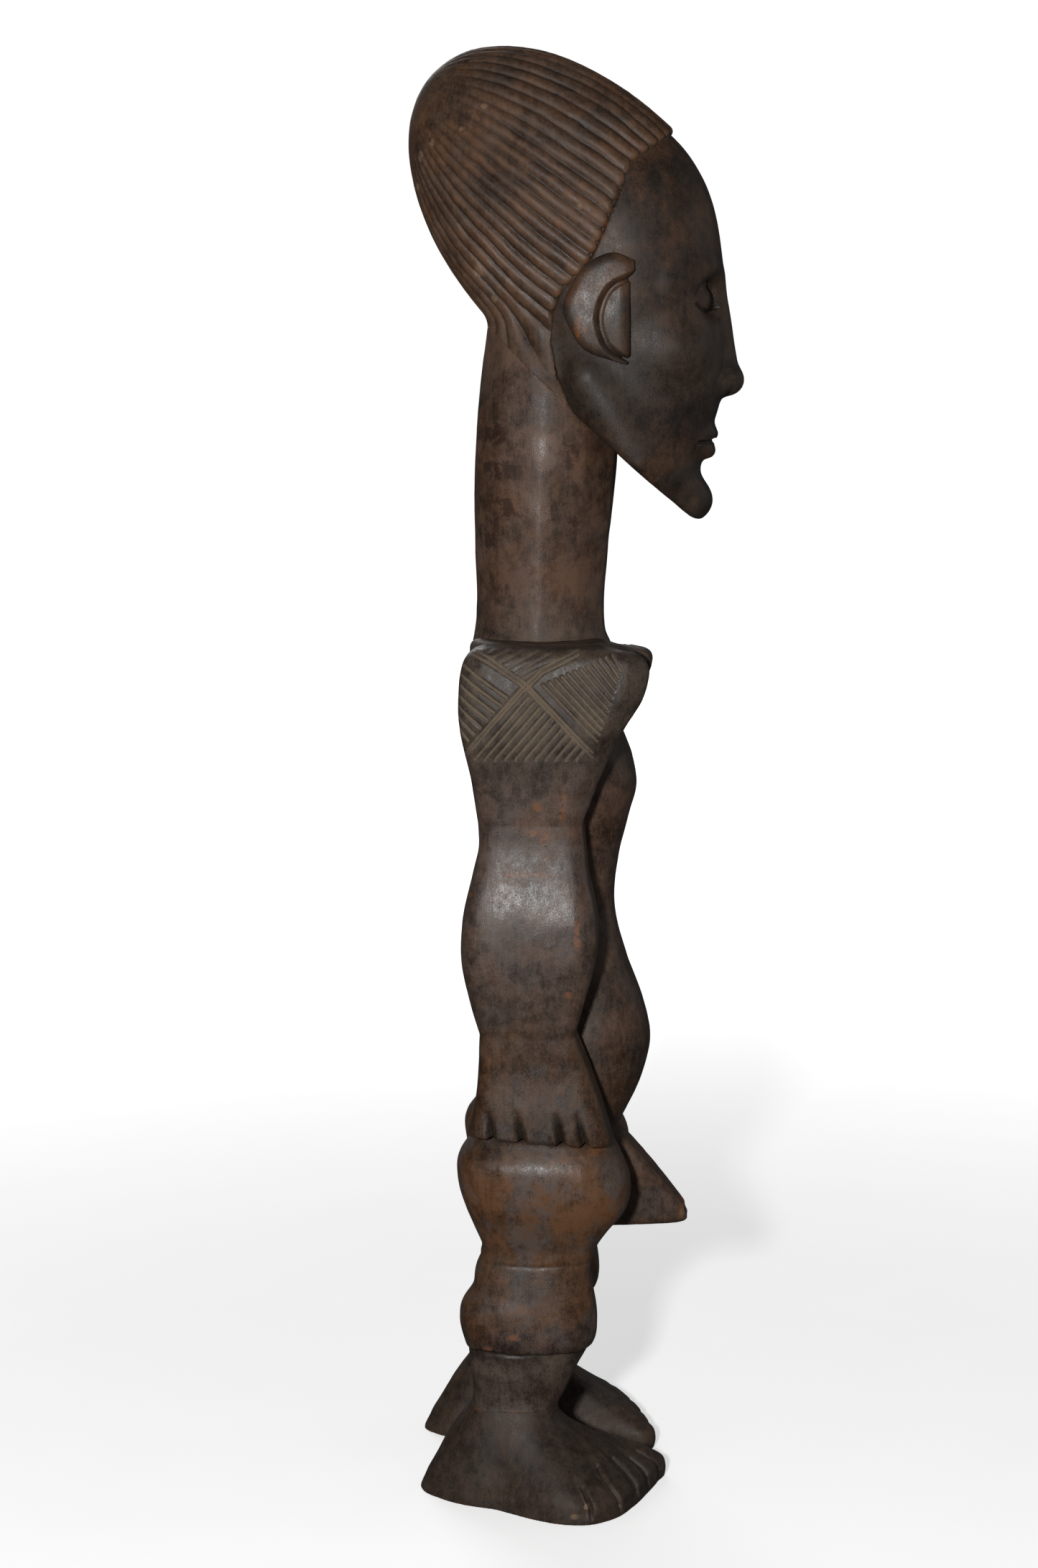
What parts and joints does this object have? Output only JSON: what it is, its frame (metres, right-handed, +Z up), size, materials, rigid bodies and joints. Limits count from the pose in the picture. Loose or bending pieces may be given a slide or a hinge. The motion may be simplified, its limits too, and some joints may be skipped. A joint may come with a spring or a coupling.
{
  "type": "carved standing figure",
  "caption": "Standing carved wooden ancestor figure with a backswept ridged coiffure, tall round neck, board-like arms, wedge under the belly, short bulging legs and large feet.",
  "frame": {"origin": "on the ground under the middle of the bounding box, between the feet", "axes": "+Z up along the figure's height, the figure faces -Y, its right side is -X"},
  "size_m": [0.172, 0.1596, 0.6998],
  "materials": {
    "face_wood": "dark, rubbed to a soft gloss, orange-brown where worn",
    "hair_wood": "brown, dusty in the grooves, rubbed on the ridges",
    "body_wood": "dark brown, satin, stained in bands",
    "limb_wood": "grey-brown, handled to a satin gloss on the bulges",
    "foot_wood": "dark, dry and dusty, chipped at the edges"
  },
  "bodies": {
    "root": {"head": "face_wood", "coiffure": "hair_wood", "ear_right": "face_wood", "ear_left": "face_wood", "neck": "body_wood", "torso": "body_wood", "arm_right": "limb_wood", "arm_left": "limb_wood", "loin_wedge": "body_wood", "leg_right": "limb_wood", "leg_left": "limb_wood", "foot_right": "foot_wood", "foot_left": "foot_wood"}
  },
  "joints": []
}
